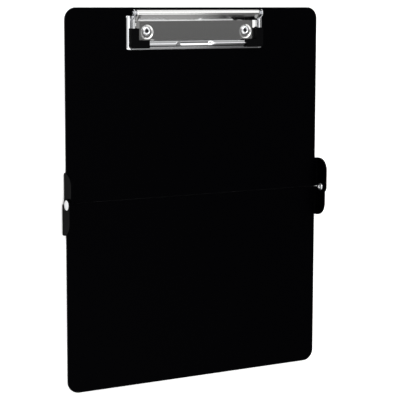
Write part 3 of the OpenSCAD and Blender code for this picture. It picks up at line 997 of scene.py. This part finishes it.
class CLIPBOARD_OT_stage(bpy.types.Operator):
    """Sets up the floor, the light and the camera"""

    bl_idname = "clipboard.stage"
    bl_label = "Stage"

    def execute(self, context):
        settings = context.scene.clipboard_stage
        scene = context.scene
        scene.view_settings.view_transform = "Standard"
        self.make_floor(settings)
        self.make_world(scene, settings)
        self.make_lamp(scene, settings)
        self.make_camera(scene, settings)
        return {"FINISHED"}

    def make_floor(self, settings):
        """A white floor that glows a little to the camera, and is black and unlit where it is all but
        covered. What the metal sees of it past the board's lower end is grey."""
        half, drop, fade = settings.floor_size / 2, 0.1 * MM, 0.1
        corners = np.array([(-1, -1), (1, -1), (1, 1), (-1, 1)]) * half
        verts = np.column_stack([corners, np.full(4, -drop)])
        mesh = bpy.data.meshes.new("floor")
        mesh.from_pydata(verts.tolist(), [], [(0, 1, 2, 3)])
        floor = bpy.data.objects.new("floor", mesh)
        bpy.context.scene.collection.objects.link(floor)
        material, tree, shader = new_material(
            "white studio floor",
            **{"Roughness": 0.9, "Specular IOR Level": 0.0, "Emission Color": (1.0, 1.0, 1.0, 1.0)},
        )
        path = add_node(tree, "ShaderNodeLightPath")
        coords = add_node(tree, "ShaderNodeTexCoord")
        axes = add_node(tree, "ShaderNodeSeparateXYZ", links={0: coords.outputs["Object"]})
        lower_end = CAD_BOX[0].y - settings.lit_past
        unlit = soft_band(tree, axes.outputs["Y"], -settings.floor_size, lower_end, fade)
        tint = add_node(
            tree,
            "ShaderNodeMix",
            {"data_type": "RGBA", 6: linear(settings.floor_white), 7: linear(settings.floor_grey)},
            {0: multiply(tree, unlit, path.outputs["Is Glossy Ray"])},
        )
        shade = add_node(tree, "ShaderNodeAmbientOcclusion", {"samples": 16, "Distance": 0.05})
        uncovered = add_node(
            tree,
            "ShaderNodeMapRange",
            {"interpolation_type": "SMOOTHSTEP", "From Min": 0.12, "From Max": 0.4},
            {"Value": shade.outputs["AO"]},
        ).outputs[0]
        colour = add_node(
            tree,
            "ShaderNodeMix",
            {"data_type": "RGBA", 6: (0.0, 0.0, 0.0, 1.0)},
            {0: uncovered, 7: tint.outputs[2]},
        )
        tree.links.new(colour.outputs[2], shader.inputs["Base Color"])
        glow = multiply(tree, uncovered, settings.floor_glow)
        glow = multiply(tree, glow, path.outputs["Is Camera Ray"])
        tree.links.new(glow, shader.inputs["Emission Strength"])
        mesh.materials.append(material)

    def make_world(self, scene, settings):
        """A white room with dark and grey cards. A card covers a band of side, the X of a way of looking,
        and of turn, that way's angle in degrees seen along X, from straight up toward the lower end."""
        world = bpy.data.worlds.new("studio")
        world.use_nodes = True
        tree = world.node_tree
        tree.nodes.clear()
        coords = add_node(tree, "ShaderNodeTexCoord")
        axes = add_node(tree, "ShaderNodeSeparateXYZ", links={0: coords.outputs["Generated"]})
        side = axes.outputs["X"]
        lower = multiply(tree, axes.outputs["Y"], -1.0)
        turn = add_node(
            tree, "ShaderNodeMath", {"operation": "ARCTAN2"}, {0: lower, 1: axes.outputs["Z"]}
        ).outputs[0]
        turn = add_node(tree, "ShaderNodeMath", {"operation": "DEGREES"}, {0: turn}).outputs[0]
        # the room's unlit side, about the way to the camera
        unlit_way, unlit_deg, unlit_tone = Vector((-0.52, 0.02, 0.85)), 24, 0.23
        toward = add_node(
            tree,
            "ShaderNodeVectorMath",
            {"operation": "DOT_PRODUCT", 1: unlit_way.normalized()},
            {0: coords.outputs["Generated"]},
        ).outputs["Value"]
        unlit = soft_band(tree, toward, math.cos(math.radians(unlit_deg)), 2.0, 0.08)
        masks = [(unlit, unlit_tone)]
        # each card's bands of side and of turn, as low, high and soft edge, and its tone
        for side_band, turn_band, dark in (
            # a thin flag over the flat plates and a wide one to its right
            ((0.40, 0.64, 0.03), (-3.5, 11, 8), settings.flag_tone),
            ((0.515, 0.64, 0.004), (1, 100, 8), settings.flag_tone),
            # a grey card for the lip and the slope
            ((0.40, 0.64, 0.03), (18.5, 25, 3), 0.25),
            # greys past the upper end, past the lower end, and low on the right
            (None, (-150, -65, 6), 0.32),
            (None, (60, 150, 40), 0.27),
            ((0.65, 2.0, 0.08), None, 0.18),
        ):
            pairs = ((side, side_band), (turn, turn_band))
            bands = [soft_band(tree, value, *band) for value, band in pairs if band]
            masks.append((multiply(tree, *bands) if len(bands) == 2 else bands[0], dark))
        tone = None
        for mask, dark in masks:
            card = add_node(
                tree, "ShaderNodeMapRange", {"To Min": 1.0, "To Max": dark}, {"Value": mask}
            ).outputs[0]
            tone = card if tone is None else lesser(tree, tone, card)
        path = add_node(tree, "ShaderNodeLightPath")
        strength = add_node(
            tree,
            "ShaderNodeMix",
            {"data_type": "FLOAT", "B": 1.0},
            {"Factor": path.outputs["Is Camera Ray"], "A": multiply(tree, tone, settings.room)},
        )
        back = add_node(
            tree, "ShaderNodeBackground", {"Color": (1.0, 1.0, 1.0, 1.0)}, {"Strength": strength.outputs[0]}
        )
        add_node(tree, "ShaderNodeOutputWorld", links={"Surface": back.outputs[0]})
        scene.world = world

    def make_lamp(self, scene, settings):
        """A softbox high past the board's upper end, turned toward the board."""
        data = bpy.data.lights.new("top softbox", "AREA")
        data.size = 0.9
        data.energy = settings.lamp_power
        lamp = bpy.data.objects.new("top softbox", data)
        place = Vector((-0.3, 0.9, 1.3))
        lamp.location = place
        lamp.rotation_mode = "QUATERNION"
        lamp.rotation_quaternion = (-place).to_track_quat("-Z", "Y")
        scene.collection.objects.link(lamp)

    def make_camera(self, scene, settings):
        """The camera, whose right and up are squared up about the way that it looks."""
        data = bpy.data.cameras.new("camera")
        data.lens = settings.lens
        data.sensor_width = 36.0
        camera = bpy.data.objects.new("camera", data)
        right, up = Vector(settings.camera_right), Vector(settings.camera_up)
        back = right.cross(up).normalized()
        up = back.cross(right).normalized()
        turn = Matrix((right.normalized(), up, back)).transposed().to_4x4()
        place = Vector(settings.camera_place) + Vector((0, 0, FACE_Z * MM))
        camera.matrix_world = Matrix.Translation(place) @ turn
        scene.collection.objects.link(camera)
        scene.camera = camera


class CLIPBOARD_PT_panel(bpy.types.Panel):
    """Lists the steps in the sidebar"""

    bl_idname = "CLIPBOARD_PT_panel"
    bl_label = "Clipboard"
    bl_space_type = "VIEW_3D"
    bl_region_type = "UI"
    bl_category = "Clipboard"

    def draw(self, context):
        for operator in OPERATORS:
            self.layout.operator(operator.bl_idname)


OPERATORS = (
    CLIPBOARD_OT_stage,
    CLIPBOARD_OT_panels,
    CLIPBOARD_OT_clip,
    CLIPBOARD_OT_rivets,
    CLIPBOARD_OT_grips,
)
SETTINGS = {
    "clipboard_board": BoardSettings,
    "clipboard_clip": ClipSettings,
    "clipboard_stage": StageSettings,
}
CLASSES = (*SETTINGS.values(), *OPERATORS, CLIPBOARD_PT_panel)


def register():
    """Registers the classes and hangs the settings on the scene."""
    for cls in CLASSES:
        bpy.utils.register_class(cls)
    for name, group in SETTINGS.items():
        setattr(bpy.types.Scene, name, bpy.props.PointerProperty(type=group))


def unregister():
    """Takes the settings off the scene and the classes out again."""
    for name in SETTINGS:
        delattr(bpy.types.Scene, name)
    for cls in reversed(CLASSES):
        bpy.utils.unregister_class(cls)


def main():
    """Runs every step in order."""
    register()
    for operator in OPERATORS:
        group, step = operator.bl_idname.split(".")
        getattr(getattr(bpy.ops, group), step)()


if __name__ == "__main__":
    main()
